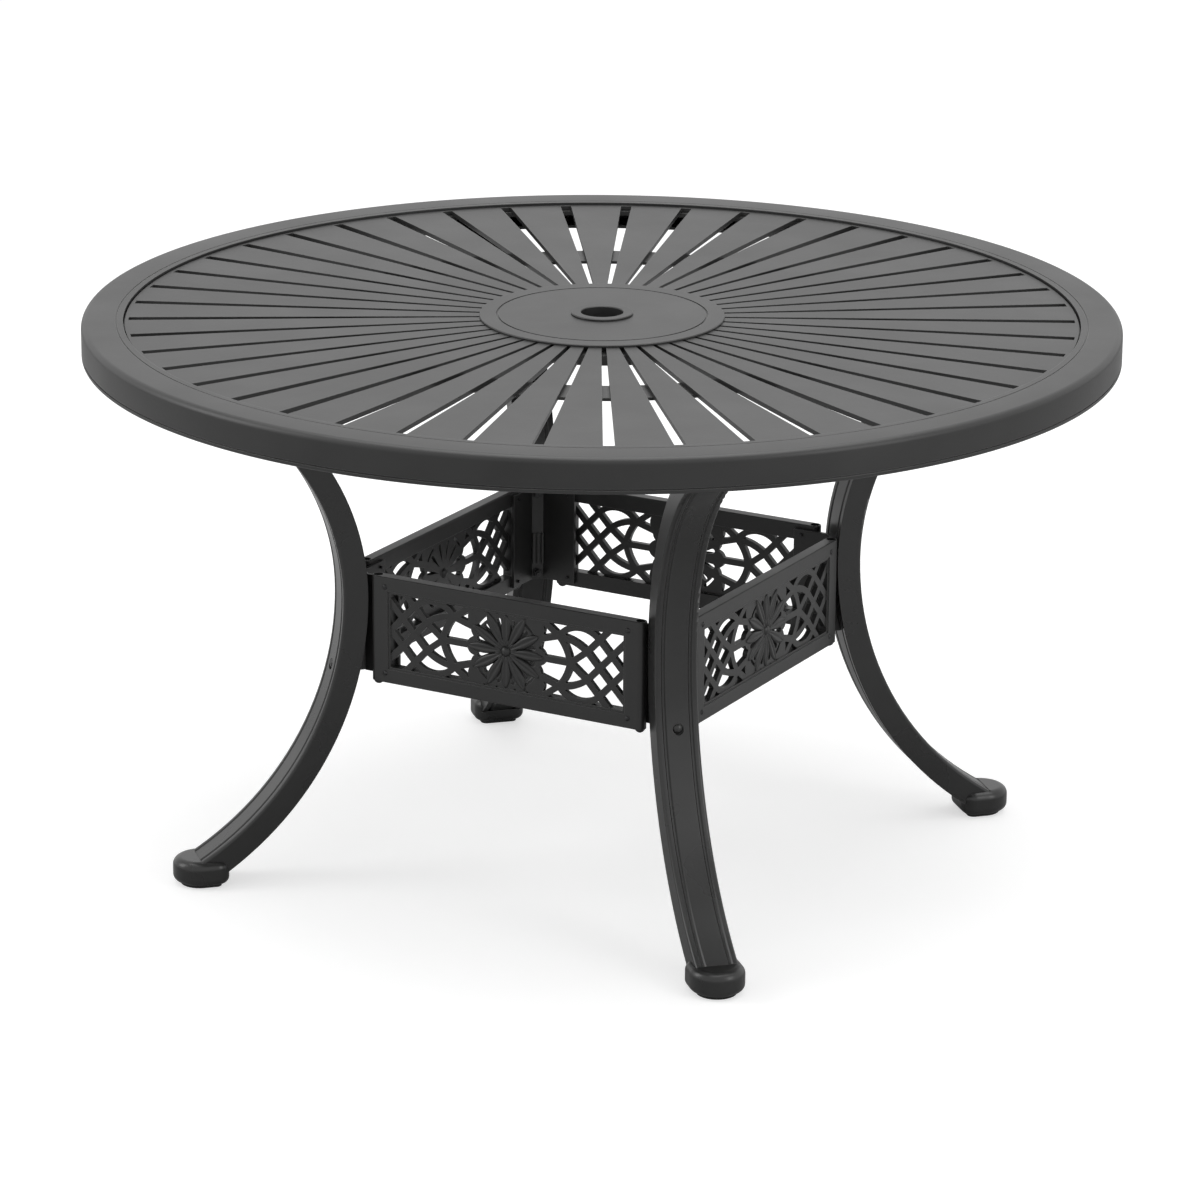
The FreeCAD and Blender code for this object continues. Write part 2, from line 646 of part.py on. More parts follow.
def make_leg(name, angle):
    """Hollow sabre leg with two grooved lines on its outer face and a mounting plate on top."""
    body = new_body("leg_" + name)
    outline = new_sketch(body, "SideOutline")
    plain_outline(outline, as_geometry(leg_outline(0, head_under)))
    pad(body, "LegPad", outline, "Sizes.leg_width")
    doc.recompute()

    hollow = new_sketch(body, "Hollow")
    plain_outline(hollow, as_geometry(leg_outline(val("leg_wall"), head_under - SKETCH_GAP)))
    pocket(body, "HollowCut", hollow, "Sizes.leg_width - 2 * Sizes.leg_wall")
    doc.recompute()

    groove_top = head_under + SKETCH_GAP
    outer_floor = val("groove_depth")
    inner_floor = val("leg_depth") - val("groove_depth")
    bands = {
        "Outer": skin_outline(-OVERCUT, outer_floor, groove_top, end_x=leg_end + OVERCUT),
        "Inner": skin_outline(inner_floor, val("leg_depth") + OVERCUT, groove_top, end_z=leg_low - OVERCUT),
    }
    line_place = "(Sizes.leg_width / 2 - Sizes.groove_inset - Sizes.groove_width / 2)"
    for face_name, band in bands.items():
        for side, side_name in ((-1, "Left"), (1, "Right")):
            line = new_sketch(body, "Groove" + face_name + side_name)
            plain_outline(line, as_geometry(band))
            line.setExpression("AttachmentOffset.Base.z", "%d * %s" % (side, line_place))
            grooves = pocket(body, "GrooveCut" + face_name + side_name, line, "Sizes.groove_width")
            doc.recompute()

    half = val("leg_width") / 2
    groove_near = half - val("groove_inset")
    groove_far = groove_near - val("groove_width")
    centre_up = Vector(waist_radius + upper_radius, 0, waist_z)
    centre_low = Vector(waist_radius + lower_radius, 0, waist_z)

    def along_face(point, depth, distances):
        """On a leg face this far behind the outer one, at one of these distances from its middle."""
        flat = Vector(point.x, 0, point.z)
        on_line = any(abs(abs(point.y) - distance) < 0.01 for distance in distances)
        on_up = abs((flat - centre_up).Length - upper_radius - depth) < 0.01 and point.z > waist_z - 1
        on_low = abs((flat - centre_low).Length - lower_radius - depth) < 0.01 and point.z < waist_z + 1
        return on_line and (on_up or on_low)

    def long_edge(point):
        return along_face(point, 0, [half])

    def groove_edge(point):
        lines = [groove_near, groove_far]
        return along_face(point, 0, lines) or along_face(point, val("leg_depth"), lines)

    edges = fillet(body, "LegEdges", grooves, edge_names(grooves.Shape, long_edge), "Sizes.leg_edge")
    doc.recompute()
    chamfer(body, "GrooveEdges", edges, edge_names(edges.Shape, groove_edge), "Sizes.groove_bevel")
    doc.recompute()

    head = new_sketch(body, "HeadPlate", "XY_Plane", LIP_BOTTOM)
    heel = face_curve(val("leg_depth"), head_under, end_z=leg_low)[0].x - PLATE_GAP
    tip = val("top_radius") - val("rim_wall") - PLATE_GAP
    plain_outline(head, rounded_rectangle(heel, tip, val("head_width") / 2, val("head_corner")))
    for side in (-1, 1):
        centre = Vector(head_bolt_radius, side * val("head_bolt_gap") / 2, 0)
        head.addGeometry(Part.Circle(centre, TOP_Z, HEAD_BOLT["shank"] + HOLE_GAP), False)
    pad(body, "HeadPlatePad", head, "Sizes.head_thickness", midplane=False, reversed_=True)
    doc.recompute()

    bolt_hole = LEG_BOLT["shank"] + HOLE_GAP
    start = leg_inner - OVERCUT
    inner_skin = face_x(val("leg_depth") - val("leg_wall"), bolt_high_z)
    cross_hole(body, "HighBoltHole", start, inner_skin + OVERCUT - start, bolt_high_z, bolt_hole)
    seat = face_x(0, bolt_low_z) - SPOT_FACE["depth"]
    cross_hole(body, "LowBoltHole", start, seat + OVERCUT - start, bolt_low_z, bolt_hole)
    cross_hole(body, "DomeSeat", seat, val("leg_depth") / 2, bolt_low_z, SPOT_FACE["radius"])
    body.Placement = turn(angle)
    return body


def foot_plan(inset, z):
    """Foot seen from above: round at the front, small rounds at the back."""
    half = val("foot_width") / 2 - inset
    tail = foot_middle - val("foot_tail") + inset
    corner = val("foot_corner") - inset
    middle = corner * (1 - 1 / ROOT2)
    front_left = Vector(foot_middle, half, z)
    front_right = Vector(foot_middle, -half, z)
    left = Vector(tail + corner, half, z)
    left_back = Vector(tail, half - corner, z)
    right = Vector(tail + corner, -half, z)
    right_back = Vector(tail, corner - half, z)
    edges = [
        Part.Arc(front_right, Vector(foot_middle + half, 0, z), front_left).toShape(),
        Part.makeLine(front_left, left),
        Part.Arc(left, Vector(tail + middle, half - middle, z), left_back).toShape(),
        Part.makeLine(left_back, right_back),
        Part.Arc(right_back, Vector(tail + middle, middle - half, z), right).toShape(),
        Part.makeLine(right, front_right),
    ]
    return Part.Face(Part.Wire(edges))


def foot_cap_shape():
    """Cup that takes the end of the leg, rounded all round above and below."""
    puck = foot_plan(0, val("glide_height")).extrude(Vector(0, 0, val("foot_height")))

    def edges_at(shape, z):
        return [edge for edge in shape.Edges if all(abs(v.Z - z) < 0.01 for v in edge.Vertexes)]

    crowned = puck.makeFillet(val("foot_edge"), edges_at(puck, foot_top))
    rounded = crowned.makeFillet(val("foot_base_edge"), edges_at(crowned, val("glide_height")))
    return rounded.cut(leg_room())


def leg_room():
    """Space that the end of the leg takes in its foot cap, with the seat gap."""
    edges = [curve.toShape() for curve in leg_outline(-SEAT_GAP, head_under)]
    outline = Part.Wire(Part.__sortEdges__(edges))
    room = Part.Face(outline).extrude(Vector(0, 0, val("leg_width") + 2 * SEAT_GAP))
    room.Placement = Placement(Vector(0, val("leg_width") / 2 + SEAT_GAP, 0), Rotation(Vector(1, 0, 0), 90))
    return room


def make_feet():
    cap = foot_cap_shape()
    glide = foot_plan(val("glide_inset"), 0).extrude(Vector(0, 0, val("glide_height")))
    for name, angle in zip(LEG_NAMES, LEG_ANGLES):
        plain_part("foot_cap_" + name, cap, turn(angle))
        plain_part("glide_" + name, glide, turn(angle))


# Fretwork panels

def flat_point(spot):
    return Vector(spot[0], spot[1], 0)


def strap(a, b, width=None):
    """Face of a straight strap from point a to point b."""
    start = flat_point(a)
    end = flat_point(b)
    along = (end - start).normalize()
    across = Vector(-along.y, along.x, 0) * ((width or val("strap_width")) / 2)
    corners = [start + across, end + across, end - across, start - across]
    return Part.Face(Part.makePolygon(corners + corners[:1]))


def bow(a, b, c, width=None):
    """Face of a curved strap: the arc from a through b to c."""
    circle = Part.Arc(flat_point(a), flat_point(b), flat_point(c)).toShape().Curve
    half = (width or val("strap_width")) / 2
    rays = [(flat_point(spot) - circle.Center).normalize() for spot in (a, b, c)]
    inner = [circle.Center + ray * (circle.Radius - half) for ray in rays]
    outer = [circle.Center + ray * (circle.Radius + half) for ray in rays]
    edges = [
        Part.Arc(*inner).toShape(),
        Part.makeLine(inner[2], outer[2]),
        Part.Arc(*outer).toShape(),
        Part.makeLine(outer[0], inner[0]),
    ]
    return Part.Face(Part.Wire(Part.__sortEdges__(edges)))


def disc(x, y, radius):
    return Part.Face(Part.Wire(Part.makeCircle(radius, Vector(x, y, 0), TOP_Z)))


def on_ray(degrees, radius):
    return (radius * math.cos(math.radians(degrees)), radius * math.sin(math.radians(degrees)))


def drop(degrees, near, far, width):
    """Drop-shaped opening along a ray of the flower, pointed towards its heart."""
    ray = flat_point(on_ray(degrees, 1))
    across = Vector(-ray.y, ray.x, 0) * (width / 2)
    shoulder = ray * (far - width / 2)
    edges = [
        Part.makeLine(ray * near, shoulder + across),
        Part.Arc(shoulder + across, ray * far, shoulder - across).toShape(),
        Part.makeLine(shoulder - across, ray * near),
    ]
    return Part.Face(Part.Wire(edges))


def half_straps(half_u, half_v):
    """Straps of the panel's right half: bows beside the flower, lattice at the end."""
    pitch_u = half_u * LATTICE_PITCH[0]
    pitch_v = half_v * LATTICE_PITCH[1]
    past_edge = half_v + val("strap_width") / 2
    eye = (half_u * EYE[0], EYE[1])

    def lattice(columns, rows, sign):
        """Lattice crossing counted back from the panel's end and up from its middle."""
        return (half_u - columns * pitch_u, sign * rows * pitch_v)

    faces = [strap((half_v * PETAL_TIE, 0), eye)]
    for sign in (-1, 1):
        knot = (half_u * KNOT[0], sign * half_v * KNOT[1])
        crown = (half_u * CROWN[0], sign * half_v * CROWN[1])
        shoulder = (half_u * SHOULDER[0], sign * half_v * SHOULDER[1])
        faces.append(strap(lattice(-PAST_EDGE, -PAST_EDGE, sign), lattice(2, 2, sign)))
        faces.append(strap(lattice(-PAST_EDGE, 2 + PAST_EDGE, sign), lattice(3, -1, sign)))
        faces.append(strap(eye, lattice(3, 1, sign)))
        faces.append(strap(lattice(3, 1, sign), lattice(1 + PAST_EDGE, 3 - PAST_EDGE, sign)))
        faces.append(bow(lattice(3, 1, sign), lattice(4 + PAST_EDGE, 2 - 2 * PAST_EDGE, sign), knot))
        faces.append(bow(lattice(2, 2, sign), crown, knot))
        faces.append(bow(eye, shoulder, knot))
        faces.append(strap(knot, (half_u * TIE_END, sign * past_edge)))
        faces.append(strap((half_v * PETAL_TIE, sign * half_v * PETAL_TIE), knot))
    return faces


def fretwork_faces(half_u, half_v):
    """All straps and the flower, as flat faces round the panel's middle."""
    right = half_straps(half_u, half_v)
    faces = right + [face.mirror(ORIGIN, Vector(1, 0, 0)) for face in right]
    faces.append(disc(0, 0, half_v * FLOWER["disc"]))
    for k in range(PETALS):
        x, y = on_ray(k * 360 / PETALS, half_v * FLOWER["tips"])
        faces.append(disc(x, y, half_v * FLOWER["tip"]))
    for x in (-1, 1):
        for y in (-1, 1):
            faces.append(disc(x * half_v * LEAF["across"], y * half_v * LEAF["up"], half_v * LEAF["radius"]))
    return faces


def fretwork_openings(half_v):
    """Drops between the petals, and a crescent outside them towards each corner."""
    cuts = []
    for k in range(PETALS):
        ray = (k + 0.5) * 360 / PETALS
        cuts.append(drop(ray, half_v * SLIT["near"], half_v * SLIT["far"], half_v * SLIT["width"]))
    for quarter in range(4):
        middle = 45 + 90 * quarter
        spread = CRESCENT["half_sweep"]
        points = [on_ray(middle + turned, half_v * CRESCENT["radius"]) for turned in (-spread, 0, spread)]
        cuts.append(bow(points[0], points[1], points[2], width=half_v * CRESCENT["width"]))
    return cuts


def panel_bar(length, height, depth):
    """Upright bar with rounded ends, standing round its middle."""
    straight = length / 2 - depth / 2
    front_left = Vector(-straight, -depth / 2, -height / 2)
    front_right = Vector(straight, -depth / 2, -height / 2)
    back_right = Vector(straight, depth / 2, -height / 2)
    back_left = Vector(-straight, depth / 2, -height / 2)
    outline = Part.Wire([
        Part.makeLine(front_left, front_right),
        Part.Arc(front_right, Vector(length / 2, 0, -height / 2), back_right).toShape(),
        Part.makeLine(back_right, back_left),
        Part.Arc(back_left, Vector(-length / 2, 0, -height / 2), front_left).toShape(),
    ])
    return Part.Face(outline).extrude(Vector(0, 0, height))


def fretwork_plate(half_u, half_v):
    """The pierced plate, overlapping the border by a little so that they join."""
    flat = fretwork_faces(half_u, half_v)
    joined = flat[0].multiFuse(flat[1:]).cut(Part.makeCompound(fretwork_openings(half_v)))
    reach_u = half_u + FRET_LAP
    reach_v = half_v + FRET_LAP
    clip = Part.makePlane(2 * reach_u, 2 * reach_v, Vector(-reach_u, -reach_v, 0))
    joined = joined.common(clip).removeSplitter()
    pieces = [face.extrude(Vector(0, 0, val("fret_depth"))) for face in joined.Faces]
    plate = pieces[0].multiFuse(pieces[1:]) if len(pieces) > 1 else pieces[0]
    front = -val("panel_depth") / 2 + val("fret_sink")
    plate.Placement = Placement(Vector(0, front + val("fret_depth"), 0), Rotation(Vector(1, 0, 0), 90))
    return plate


def panel_shape():
    """Border with a stepped window, the fretwork in it, and holes for the rods and screws."""
    height = val("panel_height")
    depth = val("panel_depth")
    half_u = panel_length / 2 - val("border_end")
    half_v = height / 2 - val("border_side")
    step = val("step_width")
    bar = panel_bar(panel_length, height, depth)
    level_edges = [edge for edge in bar.Edges if len({round(v.Z, 3) for v in edge.Vertexes}) == 1]
    bar = bar.makeFillet(val("panel_edge"), level_edges)
    before = -depth / 2 - OVERCUT
    through = depth + 2 * OVERCUT
    window = Part.makeBox(2 * half_u, through, 2 * half_v, Vector(-half_u, before, -half_v))
    ledge = Part.makeBox(2 * (half_u + step), val("step_depth") + OVERCUT, 2 * (half_v + step),
                         Vector(-half_u - step, before, -half_v - step))
    fret_middle = -depth / 2 + val("fret_sink") + val("fret_depth") / 2
    heart = Part.makeSphere(half_v * FLOWER["heart"], Vector(0, fret_middle, 0))
    solid = bar.cut(window).cut(ledge).fuse(fretwork_plate(half_u, half_v)).fuse(heart).removeSplitter()
    rod_x = panel_length / 2 - depth / 2
    screw_x = panel_length / 2 - val("screw_from_end")
    screw_z = height / 2 - val("screw_from_side")
    tools = []
    for x in (-1, 1):
        low = Vector(x * rod_x, 0, -height / 2 - OVERCUT)
        high = Vector(x * rod_x, 0, height / 2 - END_ROD["sink"])
        tools.append(Part.makeCylinder(val("rod_radius") + ROD_GAP, height + 2 * OVERCUT, low))
        tools.append(Part.makeCylinder(END_ROD["recess"], END_ROD["sink"] + OVERCUT, high))
        for z in (-1, 1):
            start = Vector(x * screw_x, before, z * screw_z)
            tools.append(Part.makeCylinder(PANEL_SCREW["shank"] + ROD_GAP, through, start, Vector(0, 1, 0)))
    return solid.cut(Part.makeCompound(tools))


def panel_placement(angle):
    """Stand a panel upright on its own side of the square."""
    turned = Rotation(TOP_Z, angle)
    return Placement(turned.multVec(Vector(0, -panel_middle, panel_mid_z)), turned)


def make_panels():
    shape = panel_shape()
    for name, angle in zip(PANEL_NAMES, PANEL_ANGLES):
        plain_part("panel_" + name, shape, panel_placement(angle))


# Corner brackets

def bracket_plan():
    """Web on the leg and a wing along the inner face of each panel, seen from above."""
    thick = val("bracket_thickness")
    wing = val("bracket_wing") / ROOT2
    face = panel_inner * ROOT2 - SEAT_GAP * ROOT2
    tip = (leg_inner - wing, face - leg_inner + wing)
    back = (tip[0] - thick / ROOT2, tip[1] - thick / ROOT2)
    root = (web_face, face - thick * ROOT2 - web_face)
    left = [(leg_inner, face - leg_inner), tip, back, root]
    right = [(x, -y) for x, y in reversed(left)]
    return left + right


def make_bracket(name, angle):
    """Angled casting behind a leg, shaped to the leg's curve, with three ribs low on its face."""
    body = new_body("corner_bracket_" + name)
    base = PANEL_BOTTOM + " + Sizes.bracket_inset"
    plan = new_sketch(body, "Plan", "XY_Plane", base)
    plain_outline(plan, polygon(bracket_plan()))
    pad(body, "BracketPad", plan, "Sizes.panel_height - 2 * Sizes.bracket_inset", midplane=False)
    doc.recompute()

    low = panel_bottom + val("bracket_inset")
    high = panel_bottom + val("panel_height") - val("bracket_inset")
    backing = val("leg_depth") + SEAT_GAP
    low_point = Vector(face_x(backing, low), low, 0)
    low_middle = Vector(face_x(backing, (low + waist_z) / 2), (low + waist_z) / 2, 0)
    waist_point = Vector(face_x(backing, waist_z), waist_z, 0)
    high_middle = Vector(face_x(backing, (high + waist_z) / 2), (high + waist_z) / 2, 0)
    high_point = Vector(face_x(backing, high), high, 0)
    low_root = Vector(web_face + OVERCUT, low, 0)
    high_root = Vector(web_face + OVERCUT, high, 0)
    saddle = new_sketch(body, "Saddle")
    plain_outline(saddle, as_geometry([
        Part.LineSegment(low_root, low_point),
        Part.Arc(low_point, low_middle, waist_point),
        Part.Arc(waist_point, high_middle, high_point),
        Part.LineSegment(high_point, high_root),
        Part.LineSegment(high_root, low_root),
    ]))
    pad(body, "SaddlePad", saddle, "%g" % (2 * (panel_inner * ROOT2 - leg_inner - SADDLE_GAP)))
    doc.recompute()
    trim = new_sketch(body, "Trim")
    far = low_point.x + val("leg_depth")
    corners = [
        high_point,
        Vector(high_point.x, high + OVERCUT, 0),
        Vector(far, high + OVERCUT, 0),
        Vector(far, low - OVERCUT, 0),
        Vector(low_point.x, low - OVERCUT, 0),
        low_point,
    ]
    plain_outline(trim, as_geometry([
        Part.Arc(low_point, low_middle, waist_point),
        Part.Arc(waist_point, high_middle, high_point),
    ] + [Part.LineSegment(a, b) for a, b in zip(corners, corners[1:])]))
    pocket(body, "TrimCut", trim, "4 * Sizes.bracket_wing")
    doc.recompute()

    ribs = new_sketch(body, "Ribs", "XY_Plane", base)
    root = web_face + RIB["root"]
    crest = web_face - RIB["height"]
    for y in (-RIB["gap"], 0, RIB["gap"]):
        left = y - RIB["width"] / 2
        right = y + RIB["width"] / 2
        plain_outline(ribs, polygon([(root, left), (root, right), (crest, right), (crest, left)]))
    ribs.setExpression("AttachmentOffset.Base.z", "%g" % (bolt_low_z + RIB["from_bolt"]))
    pad(body, "RibPad", ribs, "%g" % (val("bolt_span") / 2 - RIB["from_bolt"]), midplane=False)
    doc.recompute()

    bolt_hole = LEG_BOLT["shank"] + HOLE_GAP
    start = web_face - OVERCUT
    for name_of_hole, z in (("HighBoltHole", bolt_high_z), ("LowBoltHole", bolt_low_z)):
        cross_hole(body, name_of_hole, start, face_x(0, z) - start, z, bolt_hole)
    for number, (start, outward) in enumerate(wing_screw_lines()):
        drill = body.newObject("PartDesign::SubtractiveCylinder", "WingHole%d" % number)
        drill.Radius = PANEL_SCREW["shank"] + ROD_GAP
        drill.Height = 3 * val("bracket_thickness")
        drill.Placement = Placement(start, Rotation(TOP_Z, outward))
        doc.recompute()
    body.Placement = turn(angle)
    return body


def wing_screw_lines():
    """Start and direction of the screw holes through both wings, in the frame of their leg."""
    along = panel_length / 2 - val("screw_from_end")
    reach = val("panel_height") / 2 - val("screw_from_side")
    lines = []
    for side in (-1, 1):
        outward = Vector(1, side, 0) / ROOT2
        x = (along + panel_inner) / ROOT2
        y = side * (panel_inner - along) / ROOT2
        for z in (panel_mid_z - reach, panel_mid_z + reach):
            lines.append((Vector(x, y, z) - outward * 2 * val("bracket_thickness"), outward))
    return lines


# Fasteners

def hex_prism(across_half, height):
    """Hexagonal prism, this far from its axis to each flat, standing on z = 0."""
    radius = across_half / math.cos(math.pi / 6)
    points = [flat_point(on_ray(60 * k, radius)) for k in range(6)]
    return Part.Face(Part.makePolygon(points + points[:1])).extrude(Vector(0, 0, height))


def hex_bolt(shank, head, head_height, length):
    """Bolt pointing up, its bearing face at z = 0."""
    top = hex_prism(head, head_height)
    top.translate(Vector(0, 0, -head_height))
    return top.fuse(Part.makeCylinder(shank, length)).removeSplitter()


def hex_nut(bolt):
    """Nut of the same size across as the bolt's head, standing on z = 0."""
    height = bolt["nut_height"]
    return hex_prism(bolt["head"], height).cut(Part.makeCylinder(bolt["shank"], height))


def washer(inner, outer, height):
    return Part.makeCylinder(outer, height).cut(Part.makeCylinder(inner, height))


def dome(radius, height):
    """Domed head with its flat side at z = 0, bulging down."""
    bulge = (radius ** 2 + height ** 2) / (2 * height)
    ball = Part.makeSphere(bulge, Vector(0, 0, bulge - height))
    return ball.common(Part.makeCylinder(radius, height, Vector(0, 0, -height)))


def dome_screw(shank, head, head_height, length):
    """Screw pointing up with a domed head below z = 0."""
    return dome(head, head_height).fuse(Part.makeCylinder(shank, length)).removeSplitter()


def group(label, shape, placements):
    """Identical fasteners as separate solids of one sub-part."""
    plain_part(label, Part.makeCompound([placed(shape, spot) for spot in placements]))


def ring_of_spots(radius, count, z):
    return [turn(360 * k / count).multiply(Placement(Vector(radius, 0, z), Rotation())) for k in range(count)]


def leg_spots(x, y, z, axis=TOP_Z):
    """The same spot in every leg's frame, with the piece turned along an axis."""
    return [turn(angle).multiply(Placement(Vector(x, y, z), Rotation(TOP_Z, axis))) for angle in LEG_ANGLES]


def head_spots(z):
    half = val("head_bolt_gap") / 2
    return leg_spots(head_bolt_radius, -half, z) + leg_spots(head_bolt_radius, half, z)


def panel_end_spots(x_from_end, y, z_values, axis):
    """The same spots at both ends of every panel."""
    spots = []
    for angle in PANEL_ANGLES:
        for x in (-1, 1):
            for z in z_values:
                local = Vector(x * (panel_length / 2 - x_from_end), y, z)
                spots.append(panel_placement(angle).multiply(Placement(local, Rotation(TOP_Z, axis))))
    return spots


def make_head_fasteners():
    """Bolts, washers and nuts between the legs' mounting plates and the rim's lip."""
    bolt = HEAD_BOLT
    lip_top = lip_bottom + val("rim_lip_wall")
    seat = head_under - bolt["washer_height"]
    reach = lip_top - seat + bolt["nut_height"] + THREAD_PAST_NUT
    shape = hex_bolt(bolt["shank"], bolt["head"], bolt["head_height"], reach)
    group("leg_head_bolts", shape, head_spots(seat))
    ring = washer(bolt["shank"] + HOLE_GAP, bolt["washer"], bolt["washer_height"])
    group("leg_head_washers", ring, head_spots(seat))
    group("leg_head_nuts", hex_nut(bolt), head_spots(lip_top))


def make_under_screws():
    """Screws from below through the support ring and the backing plate."""
    screw = UNDER_SCREW
    length = val("under_thickness") + screw["grip"]
    shape = dome_screw(screw["shank"], screw["head"], screw["head_height"], length)
    group("support_ring_screws", shape, ring_of_spots(val("support_radius"), ring_screw_count, under_bottom))
    screw = HUB_SCREW
    length = val("under_thickness") + val("slat_thickness") + screw["grip"]
    shape = dome_screw(screw["shank"], screw["head"], screw["head_height"], length)
    group("hub_screws", shape, ring_of_spots(screw["radius"], screw["count"], under_bottom))


def make_leg_bolts():
    """Short bolts high on the brackets, and through bolts with domed heads low on the legs."""
    bolt = LEG_BOLT
    inward = Vector(-1, 0, 0)
    outward = Vector(1, 0, 0)
    seat = web_face - bolt["washer_height"]
    reach = face_x(val("leg_depth"), bolt_high_z) + val("leg_wall") + THREAD_PAST_NUT - seat
    group("bracket_bolts", hex_bolt(bolt["shank"], bolt["head"], bolt["head_height"], reach),
          leg_spots(seat, 0, bolt_high_z, outward))
    ring = washer(bolt["shank"] + HOLE_GAP, bolt["washer"], bolt["washer_height"])
    group("bracket_washers", ring,
          leg_spots(seat, 0, bolt_high_z, outward) + leg_spots(seat, 0, bolt_low_z, outward))
    head_seat = face_x(0, bolt_low_z) - SPOT_FACE["depth"]
    length = head_seat - seat + bolt["nut_height"] + THREAD_PAST_NUT
    group("leg_through_bolts", dome_screw(bolt["shank"], bolt["dome"], SPOT_FACE["dome_height"], length),
          leg_spots(head_seat, 0, bolt_low_z, inward))
    group("leg_through_nuts", hex_nut(bolt), leg_spots(seat, 0, bolt_low_z, inward))


def make_panel_fasteners():
    """Screws through the panel ends into the brackets, and the rods with their nuts."""
    screw = PANEL_SCREW
    height = val("panel_height")
    depth = val("panel_depth")
    reach = height / 2 - val("screw_from_side")
    length = depth + val("bracket_thickness") + screw["past_bracket"]
    shape = dome_screw(screw["shank"], screw["head"], screw["head_height"], length)
    group("panel_screws", shape,
          panel_end_spots(val("screw_from_end"), -depth / 2, (-reach, reach), Vector(0, 1, 0)))
    thread = END_ROD["thread"]
    rod = Part.makeCylinder(val("rod_radius"), height + thread - END_ROD["sink"])
    group("end_rods", rod, panel_end_spots(depth / 2, 0, [-height / 2 - thread], TOP_Z))
    knob = dome(END_ROD["nut"], END_ROD["nut_height"])
    bore = Part.makeCylinder(val("rod_radius"), thread, Vector(0, 0, -thread))
    group("end_rod_nuts", knob.cut(bore), panel_end_spots(depth / 2, 0, [-height / 2], TOP_Z))


def check_and_write():
    """Stop on any failed object, then write one file for each sub-part."""
    doc.recompute()
    for obj in doc.Objects:
        if "Invalid" in obj.State or "Error" in obj.State:
            raise RuntimeError("%s is in state %s" % (obj.Label, obj.State))
    parts = [obj for obj in doc.Objects if obj.TypeId in ("PartDesign::Body", "Part::Feature")]
    for obj in parts:
        if obj.Shape.isNull() or not obj.Shape.isValid():
            raise RuntimeError("%s has no valid shape" % obj.Label)
    os.makedirs("parts", exist_ok=True)
    for obj in parts:
        obj.Shape.exportStep("parts/%s.step" % obj.Label)
        print("%-30s solids %3d  volume %10.0f" % (obj.Label, len(obj.Shape.Solids), obj.Shape.Volume))


make_rim()
make_slat_plate()
make_hub_disc()
make_umbrella_ring()
make_hub_plate()
make_support_ring()
for leg_name, leg_angle in zip(LEG_NAMES, LEG_ANGLES):
    make_leg(leg_name, leg_angle)
    make_bracket(leg_name, leg_angle)
make_feet()
make_panels()
make_head_fasteners()
make_under_screws()
make_leg_bolts()
make_panel_fasteners()
check_and_write()
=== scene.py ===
import bpy
import math
from mathutils import Matrix, Vector


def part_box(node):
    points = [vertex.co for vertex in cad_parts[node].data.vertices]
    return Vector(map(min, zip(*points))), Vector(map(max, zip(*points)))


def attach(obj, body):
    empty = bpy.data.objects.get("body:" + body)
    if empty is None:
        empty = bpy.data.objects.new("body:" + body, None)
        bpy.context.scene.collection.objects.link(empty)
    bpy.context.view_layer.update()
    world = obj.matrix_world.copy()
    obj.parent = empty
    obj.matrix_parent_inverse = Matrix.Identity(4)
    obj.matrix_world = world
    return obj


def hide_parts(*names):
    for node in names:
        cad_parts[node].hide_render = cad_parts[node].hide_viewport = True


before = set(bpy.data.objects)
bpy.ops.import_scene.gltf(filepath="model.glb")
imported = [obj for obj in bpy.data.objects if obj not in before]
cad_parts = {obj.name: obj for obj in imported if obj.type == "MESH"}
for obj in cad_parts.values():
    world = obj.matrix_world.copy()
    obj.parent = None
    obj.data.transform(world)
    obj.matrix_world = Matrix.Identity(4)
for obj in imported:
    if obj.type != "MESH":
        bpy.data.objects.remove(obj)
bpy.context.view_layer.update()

# Lengths are in metres, apart from the camera's lens and sensor, which are in millimetres

# Camera: distance from the table's axis, height above the floor, turn from the front, tilt and roll
CAMERA_DISTANCE = 6.457
CAMERA_HEIGHT = 2.405
CAMERA_TURN = math.radians(29.1)
CAMERA_TILT = math.radians(17.754)
CAMERA_ROLL = math.radians(0.42)
CAMERA_LENS = 157.2
CAMERA_SENSOR = 36
CAMERA_CLIP_END = 60

# Panels: how many degrees each is turned from the front, and lengths as in the CAD model
PANEL_TURNS = {"panel_front": 0, "panel_right": 90, "panel_back": 180, "panel_left": 270}
PANEL_DEPTH = 0.016
FRET_SINK = 0.003
PANEL_MIDDLE_HEIGHT = 0.3365

# Rim: its heights come from the CAD node's box, and these lengths are as in the CAD model.
# The face and the lip are measured from the outer side, the line groove from the step round the slats.
RIM_FACE = 0.053
RIM_SHOULDER = 0.008
RIM_WALL = 0.006
RIM_LEDGE = 0.012
RIM_LEDGE_TOP = 0.009
RIM_LINE_INSET = 0.008
RIM_LINE_WIDTH = 0.0016
RIM_LINE_DEPTH = 0.001
RIM_LIP = 0.054
RIM_LIP_WALL = 0.004
RIM_LIP_RISE = 0.008
BEAD_HEIGHT = 0.005
BEAD_GROOVE = 0.0018
RIM_SEGMENTS = 720
SHOULDER_STEPS = 8
BEAD_STEPS = 5
RIM_SHARP_ANGLE = math.radians(30)

# Flower on the fretwork: petals reach further sideways than up and down.
# A shape is a width, a height and how deep the crease along the ridge is, as a share of the height.
PETALS = 12
PETAL_START = 0.006
PETAL_REACH = 0.0545
PETAL_REACH_UP = 0.0480
PETAL_SHAPE = (0.0150, 0.0026, 0.5)
STAMEN_REACH = 0.0165
STAMEN_SHAPE = (0.0034, 0.0022, 0)

